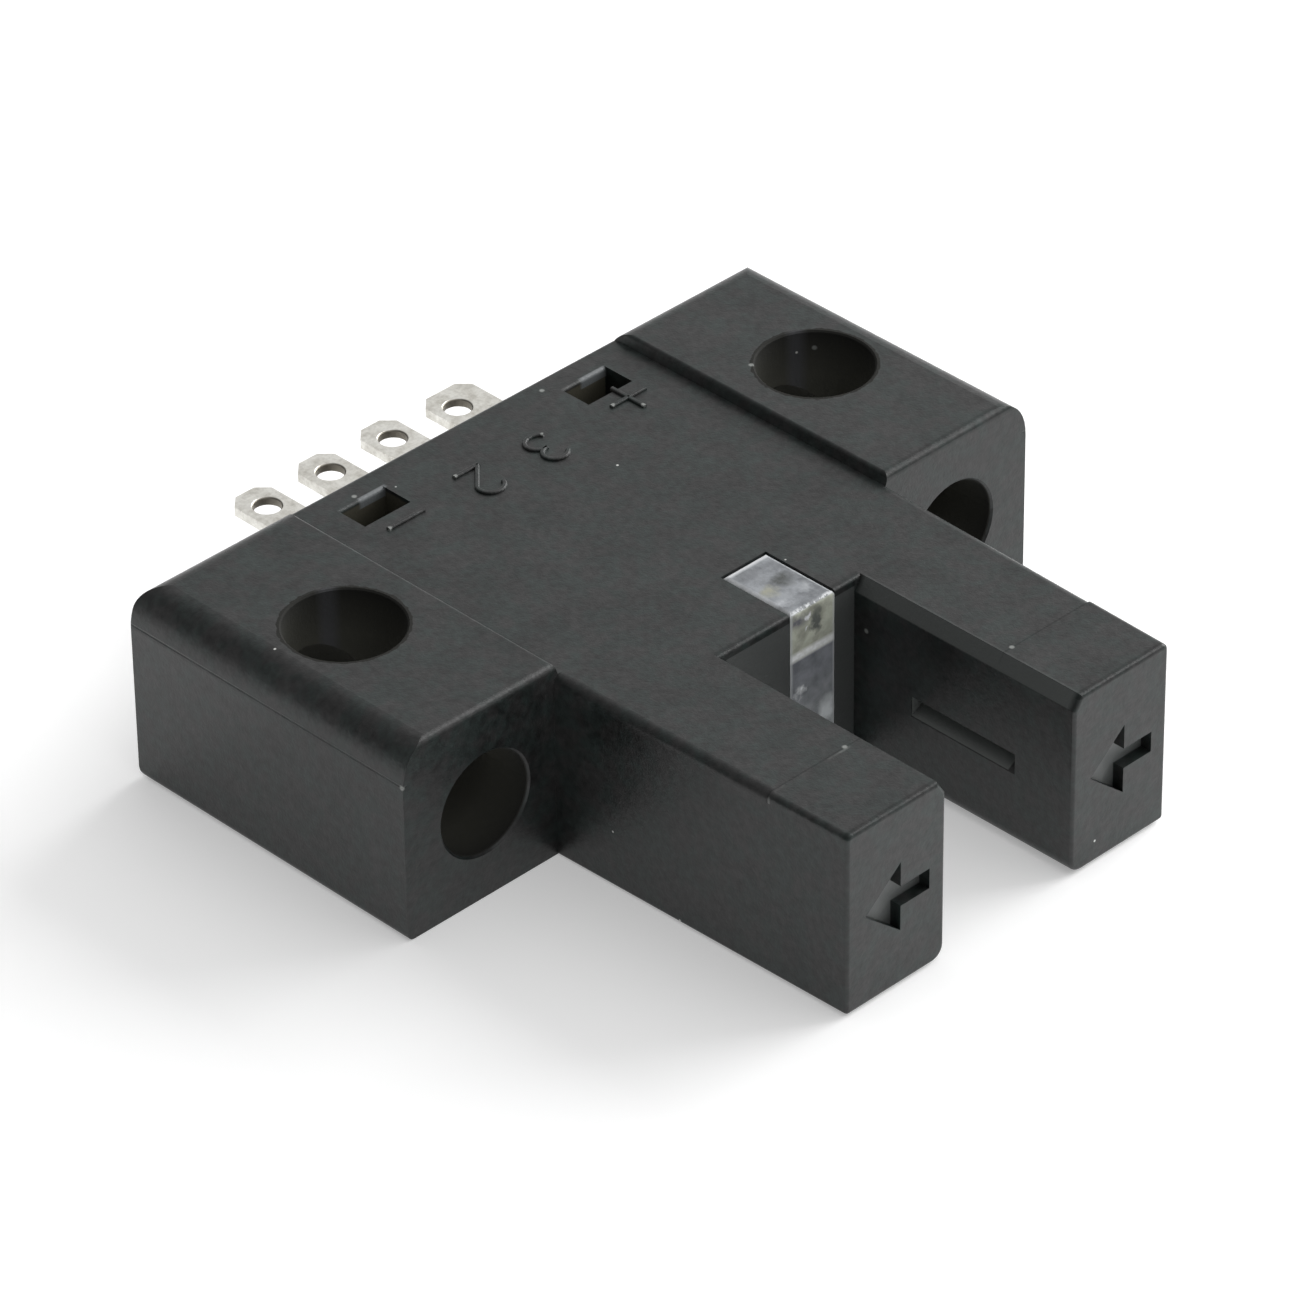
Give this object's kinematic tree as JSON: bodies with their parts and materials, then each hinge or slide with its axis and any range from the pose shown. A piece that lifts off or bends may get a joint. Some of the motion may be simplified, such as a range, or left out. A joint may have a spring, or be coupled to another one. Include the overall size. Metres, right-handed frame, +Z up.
{
  "type": "fork photoelectric sensor",
  "caption": "Slotted photoelectric sensor: a fork with a beam across its slot, two drilled mounting wings, a clear indicator window and a row of solder terminals.",
  "frame": {"origin": "on the mounting underside, midway between the two upright mounting holes", "axes": "+Z up out of the mounting underside, -Y towards the fork's tips, +Y towards the solder terminals, +X towards the wing beside the emitter prong"},
  "size_m": [0.0252, 0.0276, 0.0066],
  "materials": {
    "black_plastic": "satin black engineering plastic, fine moulded texture",
    "cover_plastic": "satin black engineering plastic",
    "clear_plastic": "clear polycarbonate",
    "dark_filter": "polycarbonate that passes infrared light only",
    "smoky_resin": "tinted clear epoxy",
    "dark_resin": "dark epoxy",
    "lead_metal": "tinned lead frame",
    "board_laminate": "solder resist on glass laminate",
    "tinned_metal": "satin tin on copper alloy",
    "package_resin": "moulded epoxy",
    "lamp_resin": "diffuse resin",
    "resistor_body": "ceramic with a dark glaze",
    "capacitor_body": "ceramic"
  },
  "bodies": {
    "root": {"housing": "black_plastic", "base_cover": "cover_plastic", "light_pipe": "clear_plastic", "emitter_window": "dark_filter", "receiver_window": "dark_filter", "emitter_package": "smoky_resin", "receiver_package": "dark_resin", "emitter_leads": "lead_metal", "receiver_leads": "lead_metal", "circuit_board": "board_laminate", "terminal_1": "tinned_metal", "terminal_2": "tinned_metal", "terminal_3": "tinned_metal", "terminal_4": "tinned_metal", "main_circuit_chip": "package_resin", "output_transistor": "package_resin", "zener_diode": "package_resin", "indicator_lamp": "lamp_resin", "lamp_resistor": "resistor_body", "base_resistor": "resistor_body", "pull_up_resistor": "resistor_body", "bypass_capacitor": "capacitor_body"}
  },
  "joints": []
}
